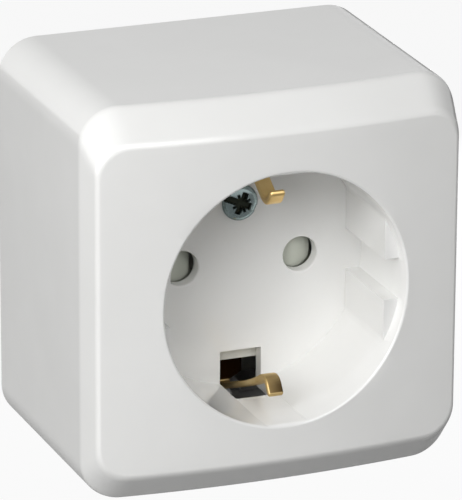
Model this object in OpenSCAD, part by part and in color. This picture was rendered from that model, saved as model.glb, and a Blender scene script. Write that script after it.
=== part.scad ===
// Surface mounted earthed socket with a round recess.
// Every piece is drawn as seen from the room, x to the right, y up and z out of the wall,
// and from_wall() then stands it up with the wall at y = 0 and the front towards -y.

/* [Cover] */
// Width of the cover
body_w = 59; // [57:0.5:66]
// Height of the cover
body_h = 61; // [59:0.5:68]
// Depth from the wall to the middle of the front
body_d = 42.5; // [40:0.5:48]
// Thickness of the cover's sides and front
wall = 2.2; // [1.6:0.1:2.4]
// How far the front bulges in the middle of its width
crown = 2.2; // [1:0.1:3]
// Radius of the upright corners
corner_r = 6; // [4.5:0.5:8]
// Depth of the sloping band round the front
band_d = 4.7; // [3.5:0.1:5.5]
// Width of the band above and below the front
band_top = 4.8; // [3.5:0.1:5.5]
// Width of the band beside the front
band_side = 1; // [0.6:0.1:2]
// Rounding where the band meets the front
front_round = 0.9; // [0.4:0.1:1.5]
// Taper of each side from the wall to the band
draft = 0.15; // [0.05:0.05:0.4]

/* [Recess] */
// Radius of the round recess for the plug
recess_r = 19.4; // [19:0.1:20]
// Depth of the recess from the middle of the front
recess_d = 17.5; // [16.5:0.5:19]
// Thickness of the recess's round wall
recess_wall = 1.8; // [1.4:0.1:2.2]
// Thickness of the recess's floor
floor_t = 2; // [1.6:0.1:2.4]
// Rounding of the recess's mouth
lip_r = 1; // [0.5:0.1:1.4]
// Distance of the flats at the left and right from the middle
flat_x = 16.3; // [15.8:0.1:17]
// Height of the flats above the floor
flat_h = 15; // [12:0.5:15.5]
// Width of the guide groove between the flats
guide_w = 6.4; // [5.4:0.2:7]
// Distance between the two pins
pin_pitch = 19; // [18.5:0.5:20]
// Diameter of a pin hole
pin_hole = 5.4; // [5:0.1:6]
// Rounding of a pin hole's mouth
pin_lip = 0.25; // [0.1:0.05:0.4]
// Width of an earth slot
slot_w = 6.6; // [6:0.2:7.4]
// Distance of an earth slot's inner end from the middle
slot_in = 14; // [13.4:0.1:14.6]
// Height that an earth slot runs up the recess's wall
slot_up = 6.7; // [5:0.1:9]
// Place of the cover screw beside the middle
screw_x = -0.6; // [-1:0.1:1]
// Place of the cover screw above the middle
screw_y = 9.6; // [9.2:0.1:10]

/* [Mechanism] */
// Thickness of the wall plate
plate_t = 2.5; // [2:0.1:3]
// Height of the rim round the wall plate
rim_h = 5; // [3:0.5:8]
// Thickness of that rim
rim_t = 1.4; // [1:0.1:2]
// Space between the cover and the wall plate
plate_gap = 0.3; // [0.2:0.05:0.5]
// Distance between the wall screws, left to right
fix_x = 38; // [34:0.5:40]
// Distance between the wall screws, up and down
fix_y = 43; // [41:0.5:44]
// Width of a wall screw's slot
fix_w = 4.4; // [4:0.1:5]
// Length of a wall screw's slot
fix_l = 7.4; // [6:0.1:9]
// Width of the cable entry in the wall plate
entry_w = 20; // [12:0.5:22]
// Height of the cable entry in the wall plate
entry_h = 8.6; // [6:0.2:9]
// Space between the contact carrier and the rim of the wall plate
carrier_gap = 2.4; // [2:0.1:3]
// Height of the contact carrier
carrier_h = 31; // [30:0.5:32]
// Thickness of the carrier's outer wall
carrier_wall = 2; // [1.6:0.1:2.4]
// Material beside the heads of the mechanism screws in the contact cover
middle_edge = 0.5; // [0.4:0.1:1]
// Height of the contact cover
middle_h = 32.4; // [31:0.2:33]
// Height of the contact cover's arms, which hold the shutter
arm_h = 11.6; // [11:0.2:12]
// Thickness of the wall at the end of the shutter's channel
arm_wall = 1.2; // [0.8:0.1:1.6]
// Free space in front of the mechanism
front_gap = 0.2; // [0.1:0.05:0.4]
// Depth of the contact cover
front_t = 6.3; // [6:0.1:7]
// Diameter of a mechanism screw
fix_screw = 2.9; // [2.5:0.1:3.2]

/* [Contacts] */
// Thickness of the contact strip
strip_t = 1; // [0.8:0.1:1.2]
// Width of a contact's gripping leaves
leaf_w = 6.5; // [5.5:0.1:7]
// Space in front of the gripping leaves
leaf_gap = 0.6; // [0.4:0.1:2.5]
// Space between the leaves where they grip
grip = 4.4; // [4:0.1:4.6]
// Width of a terminal bar
bar_w = 6.8; // [6:0.1:7.4]
// Distance of a terminal screw from the end of its bar
terminal_in = 3.5; // [3.2:0.1:3.8]
// Diameter of a terminal screw
terminal_d = 3.5; // [3:0.1:3.8]
// Space for a wire under a clamp
wire_gap = 2.2; // [1.6:0.1:2.6]
// Thickness of the steel grip springs
spring_t = 0.5; // [0.4:0.05:0.6]

/* [Earth] */
// Thickness of the earth strap
strap_t = 0.95; // [0.8:0.05:1.1]
// Width of the strap's middle
strap_w = 6.4; // [5.6:0.1:6.6]
// Width of the clips at its ends
clip_w = 2.4; // [2:0.1:3.2]
// Distance of a clip's bend from the middle
clip_y = 13.5; // [13:0.1:14]
// Height of a clip's bend above the recess floor
clip_z = 11.3; // [10.5:0.1:12]
// How far a clip's foot lies outside its bend
clip_foot = 8.8; // [8.4:0.1:9.2]

/* [Shutter] */
// Travel of the shutter
travel = 5.2; // [5:0.1:5.6]
// Thickness of the shutter's plate
shutter_t = 1; // [0.8:0.1:1.3]
// Height of the shutter
shutter_h = 7.8; // [7:0.1:8]
// Running space round the shutter
slide_gap = 0.1; // [0.05:0.05:0.2]
// Radius of the spring's coils, to the middle of the wire
coil_r = 1.3; // [1.2:0.05:1.5]
// Thickness of the spring's wire
wire_d = 0.4; // [0.3:0.05:0.5]

/* [Hidden] */
$fn = 64;

white = [0.93, 0.93, 0.91];
pale = [0.82, 0.82, 0.78];
grey = [0.3, 0.3, 0.31];
brass = [0.78, 0.6, 0.3];
zinc = [0.68, 0.72, 0.74];
steel = [0.6, 0.6, 0.62];

over = 1;                 // how far a cutting shape runs past what it cuts
fit = 0.05;               // space round a screw in its thread
snug = 0.2;               // space round a piece in its seat
floor_z = body_d - recess_d;
tube_r = recess_r + recess_wall;
pin_x = pin_pitch / 2;
crown_r = (body_w * body_w / 4 + crown * crown) / (2 * crown);
mech_front = floor_z - floor_t - front_gap;
mech_mid = mech_front - front_t;

// Wall plate, and the carrier inside its rim
plate_w = body_w - 2 * wall - 2 * plate_gap;
plate_h = body_h - 2 * wall - 2 * plate_gap;
plate_r = corner_r - wall - plate_gap;
carrier_w = plate_w - 2 * rim_t - 2 * carrier_gap;
entry_y = carrier_h / 2 + entry_h / 2 + 1.6;
knock_w = 12;
pillar_d = 6;
pillar_h = (mech_mid - plate_t) / 2;

// Contacts, measured out of the wall, and their terminal bars
web_z = plate_t + 2.2;
leaf_h = mech_mid - web_z - leaf_gap;
leaf_foot = 1;
leaf_out = grip / 2 + strip_t / 2 + 0.9;
bar_h = carrier_h - 2 * carrier_wall;
bar_x = carrier_w / 2 - carrier_wall - bar_w / 2;
terminal_y = bar_h / 2 - terminal_in;
terminal_head = 6;
terminal_head_h = 2.2;
clamp_t = 0.9;
clamp_z = web_z + strip_t + wire_gap;
clamp_top = clamp_z + 0.5 + clamp_t / 2;

// Screws: three for the mechanism, midway between the strap and a bar, and the earth terminal in the fourth place
fix_in = (strap_w / 2 + bar_x - bar_w / 2) / 2;
fix_up = carrier_h / 2 - 3.5;
fix_places = [[-fix_in, fix_up], [fix_in, fix_up], [fix_in, -fix_up]];
fix_sink = 2.2;
middle_w = 2 * (fix_in + fix_screw + middle_edge);
earth_place = [-fix_in, 2.9 - carrier_h / 2];
earth_clamp_z = mech_mid + strap_t + wire_gap - 0.5;
nut_w = 5.5;
nut_t = 2.4;
cover_screw_d = 3;
cover_head_d = 5.5;
cover_head_h = 2;
screw_end = 3;

// Channel of the shutter, from its spring's seat to its stop
coil_steps = 12;
coil_turns = 6;
shutter_left = -pin_x - 3.4;
shutter_right = pin_x + travel + pin_hole / 2 + 1.6;
spring_l = travel + coil_turns * wire_d + 0.2;
channel_left = shutter_left - spring_l;
channel_z = mech_front - 3.8;

module from_wall() rotate([90, 0, 0]) children();

module both_sides() {
  children();
  mirror([1, 0, 0]) children();
}

module up_and_down() {
  children();
  mirror([0, 1, 0]) children();
}

module rounded(w, h, r) {
  for (sx = [-1, 1], sy = [-1, 1]) translate([sx * (w / 2 - r), sy * (h / 2 - r)]) circle(r);
  square([w, h - 2 * r], center = true);
  square([w - 2 * r, h], center = true);
}

module stadium(l, w) {
  for (s = [-1, 1]) translate([s * (l - w) / 2, 0]) circle(d = w);
  square([l - w, w], center = true);
}

// A bent strip: the points of its middle line, widened by half the thickness to each side
function unit(v) = v / norm(v);
function along(p, i) = unit(p[min(i + 1, len(p) - 1)] - p[max(i - 1, 0)]);
function side(p, i, d) = p[i] + d * [-along(p, i)[1], along(p, i)[0]];
module strip(p, t) polygon(concat([for (i = [0 : len(p) - 1]) side(p, i, t / 2)],
                                  [for (i = [len(p) - 1 : -1 : 0]) side(p, i, -t / 2)]));

// A curve from a to c that leaves and arrives in line with b
function bend(a, b, c, t) = (1 - t) * (1 - t) * a + 2 * t * (1 - t) * b + t * t * c;

// The skin of the cover as outlines [half width, half height, depth of the crown, corner radius]
band_out = [body_w / 2 - draft, body_h / 2 - draft, body_d - band_d, corner_r];
band_in = band_out + [-band_side, -band_top, band_d, -1.2];
band_slope = band_in - band_out;
front_in = band_in - front_round * [1, 1, 0, 0.5];
skin_outlines = concat(
  [for (t = [0 : 0.5 : 1]) bend(band_out - [0, 0, 0.6, 0], band_out, band_out + 0.12 * band_slope, t)],
  [for (t = [0 : 0.25 : 1]) bend(band_in - 0.18 * band_slope, band_in, front_in, t)]);

module crowned(s, inset) intersection() {
  linear_extrude(s[2] - inset) rounded(2 * (s[0] - inset), 2 * (s[1] - inset), s[3] - inset, $fn = 32);
  translate([0, 0, s[2] - inset - crown_r]) rotate([90, 0, 0])
    cylinder(r = crown_r, h = 2 * body_h, center = true, $fn = 360);
}

module skin(inset) hull() {
  translate([0, 0, -inset])
    linear_extrude(1) rounded(body_w - 2 * inset, body_h - 2 * inset, corner_r - inset, $fn = 32);
  for (s = skin_outlines) crowned(s, inset);
}

// The recess seen from the front, with the space beside each flat left standing
module recess_outline(r, x, w) difference() {
  circle(r, $fn = 128);
  both_sides() up_and_down() translate([x, w / 2]) square(r);
}

// The round wall and floor of the recess, hollow behind its side blocks
module recess_body() {
  back = floor_z - floor_t;
  translate([0, 0, back]) linear_extrude(floor_t + over) circle(tube_r, $fn = 128);
  translate([0, 0, back]) linear_extrude(flat_h + over)
    recess_outline(tube_r, flat_x + recess_wall, guide_w + 2 * recess_wall);
  translate([0, 0, floor_z + flat_h - recess_wall]) linear_extrude(recess_d) circle(tube_r, $fn = 128);
}

module recess_space() {
  translate([0, 0, floor_z]) linear_extrude(flat_h + fit) recess_outline(recess_r, flat_x, guide_w);
  translate([0, 0, floor_z + flat_h]) linear_extrude(recess_d) circle(recess_r, $fn = 128);
  translate([0, 0, floor_z + recess_d / 2])
    cube([slot_w, 2 * recess_r + 0.2, recess_d], center = true);
}

// Rounding of the mouth: a ring whose inner side follows the crown of the front
function front_z(x) = body_d - crown_r + sqrt(crown_r * crown_r - x * x);
function lip_point(a, k) = let (
    b = 90 * k / 5,
    r = recess_r + lip_r * (1 - sin(90 - b)) - (k == 0 ? 0.01 : 0),
    z = front_z(recess_r * cos(a)) - lip_r + lip_r * sin(b))
  [r * cos(a), r * sin(a), z + (k == 5 ? 0.02 : 0)];
module mouth_rounding() {
  n = 72;
  rows = 8;
  points = [for (i = [0 : n - 1]) let (a = 360 * i / n) each concat(
    [for (k = [0 : 5]) lip_point(a, k)],
    [[(recess_r + lip_r) * cos(a), (recess_r + lip_r) * sin(a), body_d + over],
     [(recess_r - over) * cos(a), (recess_r - over) * sin(a), body_d + over]])];
  faces = [for (i = [0 : n - 1], k = [0 : rows - 1])
    [i * rows + k, i * rows + (k + 1) % rows,
     ((i + 1) % n) * rows + (k + 1) % rows, ((i + 1) % n) * rows + k]];
  polyhedron(points, faces);
}

module pin_hole() {
  translate([0, 0, floor_z - floor_t - over]) cylinder(d = pin_hole, h = floor_t + 2 * over);
  translate([0, 0, floor_z - pin_lip])
    cylinder(d1 = pin_hole, d2 = pin_hole + 2 * pin_lip + 0.02, h = pin_lip + 0.01);
}

// Slot for an earth clip: through the floor and up the round wall
module earth_slot() translate([-slot_w / 2, slot_in, floor_z - floor_t - over])
  cube([slot_w, tube_r - slot_in + over, floor_t + over + slot_up]);

// Thin place in the wall above and below, to be broken out for a cable along the wall
module knock_out() {
  web = 0.8;
  translate([0, body_h / 2 - draft - web, 0]) rotate([90, 0, 0]) linear_extrude(wall + over) {
    translate([0, knock_w / 2 + rim_h]) circle(d = knock_w);
    translate([-knock_w / 2, -over]) square([knock_w, knock_w / 2 + rim_h + over]);
  }
}

module cover() color(white) from_wall() difference() {
  skin(0);
  difference() {
    skin(wall);
    recess_body();
    for (a = [45 : 90 : 315]) rotate(a) translate([tube_r - over / 2, -0.7, floor_z - floor_t])
      cube([body_w, 1.4, recess_d]);
  }
  recess_space();
  mouth_rounding();
  both_sides() translate([pin_x, 0, 0]) pin_hole();
  up_and_down() earth_slot();
  up_and_down() knock_out();
  translate([screw_x, screw_y, floor_z - floor_t - over]) cylinder(d = cover_screw_d + 0.6, h = floor_t + 2 * over);
}

module wall_plate() color(grey) from_wall() difference() {
  union() {
    linear_extrude(plate_t) rounded(plate_w, plate_h, plate_r);
    linear_extrude(plate_t + rim_h) difference() {
      rounded(plate_w, plate_h, plate_r);
      rounded(plate_w - 2 * rim_t, plate_h - 2 * rim_t, plate_r - rim_t);
    }
    for (p = fix_places) translate(p) cylinder(d = pillar_d, h = plate_t + pillar_h);
  }
  for (p = fix_places) translate([p[0], p[1], plate_t]) cylinder(d = fix_screw + 2 * fit, h = pillar_h + over);
  both_sides() up_and_down() translate([fix_x / 2, fix_y / 2, -over])
    linear_extrude(plate_t + 2 * over) stadium(fix_l, fix_w);
  translate([0, entry_y, -over]) linear_extrude(plate_t + 2 * over) stadium(entry_w, entry_h);
  translate([0, 0, plate_t + rim_h]) cube([knock_w + 2, 2 * body_h, 2 * rim_h], center = true);
}

// Half of the gripping leaves from the side: [distance from the middle, height above the web]
leaf_line = concat(
  [[-fit, 0], [leaf_out - leaf_foot, 0]],
  [for (t = [0.25 : 0.25 : 1]) bend([leaf_out - leaf_foot, 0], [leaf_out, 0], [leaf_out, leaf_foot], t)],
  [for (t = [0.125 : 0.125 : 1])
    bend([leaf_out, leaf_foot + 0.18 * (leaf_h - leaf_foot)], [leaf_out - 1.6, 0.68 * leaf_h],
         [leaf_out + 0.1, leaf_h - strip_t / 2], t)]);
function moved_out(p, d) = [for (i = [0 : len(p) - 1]) side(p, i, -d)];

module leaf_pair(line, t, w) translate([0, 0, web_z + strip_t / 2]) rotate([90, 0, 90])
  linear_extrude(w, center = true) up_both(line, t);

module up_both(line, t) {
  strip(line, t);
  mirror([1, 0]) strip(line, t);
}

module contact() {
  translate([-pin_x, 0, 0]) leaf_pair(leaf_line, strip_t, leaf_w);
  translate([0, 0, web_z]) linear_extrude(strip_t) difference() {
    union() {
      translate([-bar_x, 0]) rounded(bar_w, bar_h, 1);
      translate([-bar_x, -leaf_out]) square([bar_x - pin_x - leaf_w / 2 + snug, 2 * leaf_out]);
    }
    up_and_down() translate([-bar_x, terminal_y]) circle(d = terminal_d + 2 * fit);
  }
}

module line_contact() color(brass) from_wall() contact();
module neutral_contact() color(brass) from_wall() mirror([1, 0, 0]) contact();

module grip_spring() translate([-pin_x, 0, 0])
  leaf_pair(moved_out([for (i = [0 : 11]) leaf_line[i]], strip_t / 2 + spring_t / 2 + 0.05), spring_t, leaf_w - 2);

module line_grip_spring() color(steel) from_wall() grip_spring();
module neutral_grip_spring() color(steel) from_wall() mirror([1, 0, 0]) grip_spring();

// Saddle that presses a wire, with its two ends bent down
module clamp() difference() {
  rotate([90, 0, 0]) linear_extrude(bar_w - 0.8, center = true) strip(
    [[-bar_w / 2 + 0.7, -0.5], [-bar_w / 2 + 1.5, 0.5], [bar_w / 2 - 1.5, 0.5], [bar_w / 2 - 0.7, -0.5]], clamp_t);
  translate([0, 0, -over]) cylinder(d = terminal_d + 0.5, h = 2 * (clamp_t + over));
}

// Screw with a pan head, a slot across it, and its shank reaching down by l
module screw(d, head_d, head_h, l) difference() {
  union() {
    translate([0, 0, -l]) cylinder(d = d, h = l + 0.1);
    intersection() {
      cylinder(d = head_d, h = head_h);
      translate([0, 0, head_h - head_d * 0.8]) sphere(head_d * 0.8);
    }
  }
  translate([0, 0, head_h]) cube([head_d + over, head_d * 0.2, head_h], center = true);
}

module terminal_places() up_and_down() translate([-bar_x, terminal_y, 0]) children();

module line_clamps() color(zinc) from_wall() terminal_places() translate([0, 0, clamp_z]) clamp();
module neutral_clamps() color(zinc) from_wall() mirror([1, 0, 0]) terminal_places()
  translate([0, 0, clamp_z]) clamp();

module terminal_screws() terminal_places() translate([0, 0, clamp_top + 0.02])
  screw(terminal_d, terminal_head, terminal_head_h, clamp_top - plate_t - 1);
module line_terminal_screws() color(zinc) from_wall() terminal_screws();
module neutral_terminal_screws() color(zinc) from_wall() mirror([1, 0, 0]) terminal_screws();

module contact_carrier() color(grey) from_wall() difference() {
  translate([0, 0, plate_t]) linear_extrude(mech_mid - plate_t) rounded(carrier_w, carrier_h, 1.5);
  both_sides() {
    translate([pin_x - leaf_w / 2 - 1, -leaf_out - 1.6, web_z - spring_t - 0.3])
      cube([leaf_w + 2, 2 * leaf_out + 3.2, mech_mid]);
    translate([pin_x, -leaf_out - snug, web_z - fit]) cube([bar_x - pin_x, 2 * (leaf_out + snug), mech_mid]);
    translate([bar_x - bar_w / 2 - snug, -bar_h / 2 - snug, web_z])
      cube([bar_w + 2 * snug, bar_h + 2 * snug, mech_mid]);
    translate([bar_x, 0, web_z + strip_t + wire_gap / 2])
      cube([bar_w - 1, 2 * carrier_h, wire_gap], center = true);
    up_and_down() translate([bar_x, terminal_y, plate_t - over]) cylinder(d = terminal_d + 1, h = web_z);
  }
  for (p = fix_places) translate([p[0], p[1], plate_t - over]) {
    cylinder(d = pillar_d + 2 * snug, h = pillar_h + over + snug);
    cylinder(d = fix_screw + 0.6, h = mech_mid);
  }
  translate([earth_place[0], earth_place[1], plate_t + 2]) cylinder(d = terminal_d + 1, h = mech_mid);
  translate([screw_x, screw_y, 0]) {
    translate([0, 0, plate_t + 2]) cylinder(d = cover_screw_d + 1, h = mech_mid);
    translate([-nut_w / 2 - fit, -nut_w / 2 - fit, mech_mid - nut_t - fit])
      cube([nut_w + 2 * fit, nut_w + 2 * fit, nut_t + over]);
  }
}

module cover_nut() color(zinc) from_wall() translate([screw_x, screw_y, mech_mid - nut_t]) difference() {
  translate([-nut_w / 2, -nut_w / 2, 0]) cube([nut_w, nut_w, nut_t - fit]);
  translate([0, 0, -over]) cylinder(d = cover_screw_d + 2 * fit, h = nut_t + 2 * over);
}

// Middle line of the strap from the middle out to a clip: [distance from the middle, out of the wall]
strap_z = mech_mid + strap_t / 2;
clip_bend = [clip_y + strap_t / 2, floor_z + clip_z];
clip_root = [clip_bend[0] + clip_foot, strap_z];
clip_tip = clip_bend + [2.4, 2.7];
clip_line = concat(
  [[0, strap_z], [clip_root[0] - 2.2, strap_z]],
  [for (t = [0.2 : 0.2 : 1])
    bend([clip_root[0] - 2.2, strap_z], clip_root, clip_root + 2 * unit([-0.4, 1]), t)],
  [for (t = [0.125 : 0.125 : 1]) bend([clip_root[0] - 2, strap_z + 5], clip_bend + [3.4, -5.6],
    clip_bend + [0.5, -1.1], t)],
  [for (t = [0.2 : 0.2 : 1])
    bend(clip_bend + [0.5, -1.1], clip_bend + [-0.55, 0.9], clip_tip + [-0.9, -0.7], t)],
  [clip_tip]);

module earth_lobe(space) translate(earth_place) {
  rounded(bar_w, bar_w, 1);
  translate([0, -1.6 - space]) square([-earth_place[0], 4.4 + 2 * space]);
}

module earth_strap() color(brass) from_wall() difference() {
  union() {
    up_and_down() rotate([90, 0, 90]) linear_extrude(clip_w, center = true) strip(clip_line, strap_t);
    translate([0, 0, mech_mid]) linear_extrude(strap_t) {
      rounded(strap_w, 2 * (clip_root[0] - 3), 1.5);
      earth_lobe(0);
    }
  }
  translate([screw_x, screw_y, 0]) cylinder(d = cover_screw_d + 0.4, h = body_d);
  translate([earth_place[0], earth_place[1], 0]) cylinder(d = terminal_d + 2 * fit, h = body_d);
}

module earth_clamp() color(zinc) from_wall()
  translate([earth_place[0], earth_place[1], earth_clamp_z]) rotate(90) clamp();
module earth_terminal_screw() color(zinc) from_wall()
  translate([earth_place[0], earth_place[1], earth_clamp_z + 0.5 + clamp_t / 2 + 0.02])
    screw(terminal_d, terminal_head - 0.4, cover_head_h, 2 * (wire_gap + strap_t + clamp_t));

module contact_cover() color(pale) from_wall() difference() {
  translate([0, 0, mech_mid]) linear_extrude(front_t) {
    rounded(middle_w, middle_h, 1.2);
    translate([channel_left - arm_wall, -arm_h / 2])
      square([shutter_right + slide_gap - channel_left + 2 * arm_wall, arm_h]);
  }
  translate([channel_left, -shutter_h / 2 - slide_gap, channel_z])
    cube([shutter_right + slide_gap - channel_left, shutter_h + 2 * slide_gap, front_t]);
  both_sides() translate([pin_x, 0, 0]) cylinder(d = pin_hole + 0.4, h = body_d);
  translate([0, 0, mech_mid]) {
    cube([strap_w + 2 * snug, 2 * body_h, 2 * (strap_t + fit)], center = true);
    linear_extrude(strap_t + fit) earth_lobe(snug);
  }
  translate([-middle_w / 2 - over, -middle_h / 2 - over, 0])
    cube([middle_w / 2 + over + earth_place[0] + bar_w / 2 + snug,
          middle_h / 2 + over + earth_place[1] + bar_w / 2 + snug, body_d]);
  translate([screw_x, screw_y, 0]) cylinder(d = cover_screw_d + 0.8, h = body_d);
  for (p = fix_places) translate(p) {
    cylinder(d = fix_screw + 0.6, h = body_d);
    translate([0, 0, mech_front - fix_sink]) cylinder(d = 2 * fix_screw + 0.4, h = body_d);
  }
}

module mechanism_screws() color(zinc) from_wall() for (p = fix_places)
  translate([p[0], p[1], mech_front - fix_sink + 0.02])
    screw(fix_screw, 2 * fix_screw, fix_sink - snug, mech_front - fix_sink - plate_t - 1.5);

// Ramp that a pin presses: it falls to the right and is rounded in plan
module ramp() intersection() {
  rotate([90, 0, 0]) linear_extrude(shutter_h, center = true)
    polygon([[-3.3, 0], [-3.3, 2.3], [-2.4, 2.7], [-1.2, 2.6], [1.9, 0.5], [2.3, 0]]);
  cylinder(r = 3.1, h = 4);
}

module shutter() color(pale) from_wall() translate([0, 0, channel_z + slide_gap]) difference() {
  union() {
    translate([shutter_left, -shutter_h / 2, 0]) cube([shutter_right - shutter_left, shutter_h, shutter_t]);
    for (s = [-1, 1]) translate([s * pin_x, 0, shutter_t - 0.2]) ramp();
    translate([shutter_left, -1.6, 0]) cube([2, 3.2, 2 * (coil_r + wire_d)]);
    translate([shutter_left + 0.5, 0, coil_r + wire_d]) rotate([0, -90, 0]) cylinder(r = coil_r - wire_d, h = 2.8);
  }
  for (s = [-1, 1]) translate([s * pin_x + travel, 0, -over]) cylinder(d = pin_hole + 0.2, h = 5);
}

// Coil spring: a ring of points for each step along the wire, closed turns at both ends
function coil_at(i, n) = let (
    u = i / n,
    s = u < 0.14 ? u / 0.14 * 0.05 : u > 0.86 ? 0.95 + (u - 0.86) / 0.14 * 0.05 : 0.05 + (u - 0.14) / 0.72 * 0.9)
  [channel_left + wire_d / 2 + s * (spring_l - wire_d), 360 * coil_turns * u];
module coil_wire() {
  n = coil_steps * coil_turns;
  m = 6;
  points = [for (i = [0 : n], k = [0 : m - 1]) let (
      c = coil_at(i, n), r = coil_r + wire_d / 2 * cos(360 * k / m))
    [c[0] + wire_d / 2 * sin(360 * k / m), r * cos(c[1]), r * sin(c[1])]];
  faces = concat([[for (k = [0 : m - 1]) k]],
    [for (i = [0 : n - 1], k = [0 : m - 1])
      [i * m + k, (i + 1) * m + k, (i + 1) * m + (k + 1) % m, i * m + (k + 1) % m]],
    [[for (k = [m - 1 : -1 : 0]) n * m + k]]);
  polyhedron(points, faces);
}

module shutter_spring() color(steel) from_wall()
  translate([0, 0, channel_z + slide_gap + coil_r + wire_d]) coil_wire();

module cover_screw() color(zinc) from_wall() translate([screw_x, screw_y, floor_z]) rotate(10)
  screw(cover_screw_d, cover_head_d, cover_head_h, floor_z - mech_mid + nut_t + screw_end);

cover();
wall_plate();
contact_carrier();
contact_cover();
shutter();
shutter_spring();
line_contact();
neutral_contact();
line_grip_spring();
neutral_grip_spring();
line_clamps();
neutral_clamps();
line_terminal_screws();
neutral_terminal_screws();
earth_strap();
earth_clamp();
earth_terminal_screw();
cover_screw();
cover_nut();
mechanism_screws();
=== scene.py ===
import math
import bmesh
import bpy
import numpy as np
from mathutils import Matrix, Vector


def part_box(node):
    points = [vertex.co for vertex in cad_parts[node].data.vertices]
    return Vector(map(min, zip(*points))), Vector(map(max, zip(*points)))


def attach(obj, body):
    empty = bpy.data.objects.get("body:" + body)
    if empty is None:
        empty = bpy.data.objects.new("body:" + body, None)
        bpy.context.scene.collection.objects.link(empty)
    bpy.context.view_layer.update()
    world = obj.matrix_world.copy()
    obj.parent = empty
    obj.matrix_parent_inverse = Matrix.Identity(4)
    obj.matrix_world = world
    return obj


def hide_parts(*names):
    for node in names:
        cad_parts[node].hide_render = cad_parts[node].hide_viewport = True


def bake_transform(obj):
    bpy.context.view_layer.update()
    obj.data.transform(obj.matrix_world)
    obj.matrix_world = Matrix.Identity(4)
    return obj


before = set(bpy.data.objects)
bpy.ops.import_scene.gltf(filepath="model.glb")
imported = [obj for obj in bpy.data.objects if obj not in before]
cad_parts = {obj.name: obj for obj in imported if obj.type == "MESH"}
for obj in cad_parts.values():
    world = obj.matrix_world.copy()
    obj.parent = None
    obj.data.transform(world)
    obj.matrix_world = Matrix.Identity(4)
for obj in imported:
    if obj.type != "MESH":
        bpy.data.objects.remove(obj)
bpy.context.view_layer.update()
print("stage: frame loaded,", len(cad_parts), "nodes")

# Lengths below are millimetres, drawn as seen from the room: x right, y up, z out of the wall
mm = 0.001
weldReach = 0.002 * mm  # points nearer than this are one point


# Turns room millimetres into the frame's metres: x stays, z out of the wall becomes -y, y up becomes z
def toFrame(points):
    p = np.asarray(points, float)
    return np.stack([p[..., 0], -p[..., 2], p[..., 1]], -1) * mm


# Camera

view = {
    "turn": (0.336, -0.369, -0.058),     # turn of the camera's axes, as a rotation vector
    "shift": (-7.584, -6.086, 743.185),  # object's origin in the camera's axes, mm
    "lens": 348.07,
}


# Rotation matrix of a rotation vector: the identity, plus sine times the axis's cross matrix,
# plus one less the cosine times its square
def rotationOf(vector):
    v = np.array(vector, float)
    angle = np.linalg.norm(v)
    x, y, z = v / angle
    cross = np.array([[0, -z, y], [z, 0, -x], [-y, x, 0]])
    return np.eye(3) + math.sin(angle) * cross + (1 - math.cos(angle)) * cross @ cross


def makeCamera():
    axes = rotationOf(view["turn"]) @ np.array([[1, 0, 0], [0, 0, -1], [0, 1, 0]], float)
    place = -axes.T @ np.array(view["shift"]) * mm
    camera = bpy.data.objects.new("camera", bpy.data.cameras.new("camera"))
    bpy.context.scene.collection.objects.link(camera)
    turn = np.stack([axes[0], -axes[1], -axes[2]], 1)
    camera.matrix_world = Matrix.Translation(place) @ Matrix(turn.tolist()).to_4x4()
    camera.data.lens = view["lens"]
    camera.data.sensor_width = 36
    camera.data.clip_start, camera.data.clip_end = 0.01, 20
    bpy.context.scene.camera = camera


makeCamera()
print("stage: camera")

# Materials


# A new material, with its nodes, links, shader and Object coordinates
def startMaterial(name):
    material = bpy.data.materials.new(name)
    material.use_nodes = True
    nodes, links = material.node_tree.nodes, material.node_tree.links
    return material, nodes, links, nodes["Principled BSDF"], nodes.new("ShaderNodeTexCoord").outputs["Object"]


# A noise pattern spread between two values or colours, and the noise itself for a bump
def spread(nodes, links, place, scale, low, high, detail=3, stretch=None):
    noise = nodes.new("ShaderNodeTexNoise")
    noise.inputs["Scale"].default_value = scale
    noise.inputs["Detail"].default_value = detail
    if stretch:
        mapping = nodes.new("ShaderNodeMapping")
        mapping.inputs["Scale"].default_value = stretch
        links.new(place, mapping.inputs["Vector"])
        place = mapping.outputs["Vector"]
    links.new(place, noise.inputs["Vector"])
    ramp = nodes.new("ShaderNodeValToRGB")
    ramp.color_ramp.elements[0].position = 0.3
    ramp.color_ramp.elements[1].position = 0.7
    ramp.color_ramp.elements[0].color = (*low, 1)
    ramp.color_ramp.elements[1].color = (*high, 1)
    links.new(noise.outputs["Fac"], ramp.inputs["Fac"])
    return ramp.outputs["Color"], noise.outputs["Fac"]


def addBump(nodes, links, height, strength, distance, shader):
    bump = nodes.new("ShaderNodeBump")
    bump.inputs["Strength"].default_value = strength
    bump.inputs["Distance"].default_value = distance
    links.new(height, bump.inputs["Height"])
    links.new(bump.outputs["Normal"], shader.inputs["Normal"])


plastics = {
    # colour low, colour high, roughness low and high, bump strength, grain per metre, coat
    "coverWhite": ((0.865, 0.865, 0.85), (0.9, 0.9, 0.886), 0.14, 0.22, 0.03, 900, 0.25),
    "mouldedPale": ((0.74, 0.75, 0.70), (0.80, 0.81, 0.77), 0.34, 0.46, 0.08, 1500, 0.0),
    "mouldedGrey": ((0.42, 0.42, 0.42), (0.5, 0.5, 0.49), 0.4, 0.55, 0.12, 1800, 0.0),
    # Dark plastic, painted darker still so that it stands for the deep shade seen through the slots
    "darkPlasticAndShade": ((0.006, 0.004, 0.003), (0.013, 0.009, 0.007), 0.55, 0.7, 0.12, 1800, 0.0),
    "shutterPale": ((0.60, 0.63, 0.55), (0.67, 0.69, 0.61), 0.3, 0.42, 0.08, 1500, 0.0),
}

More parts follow.
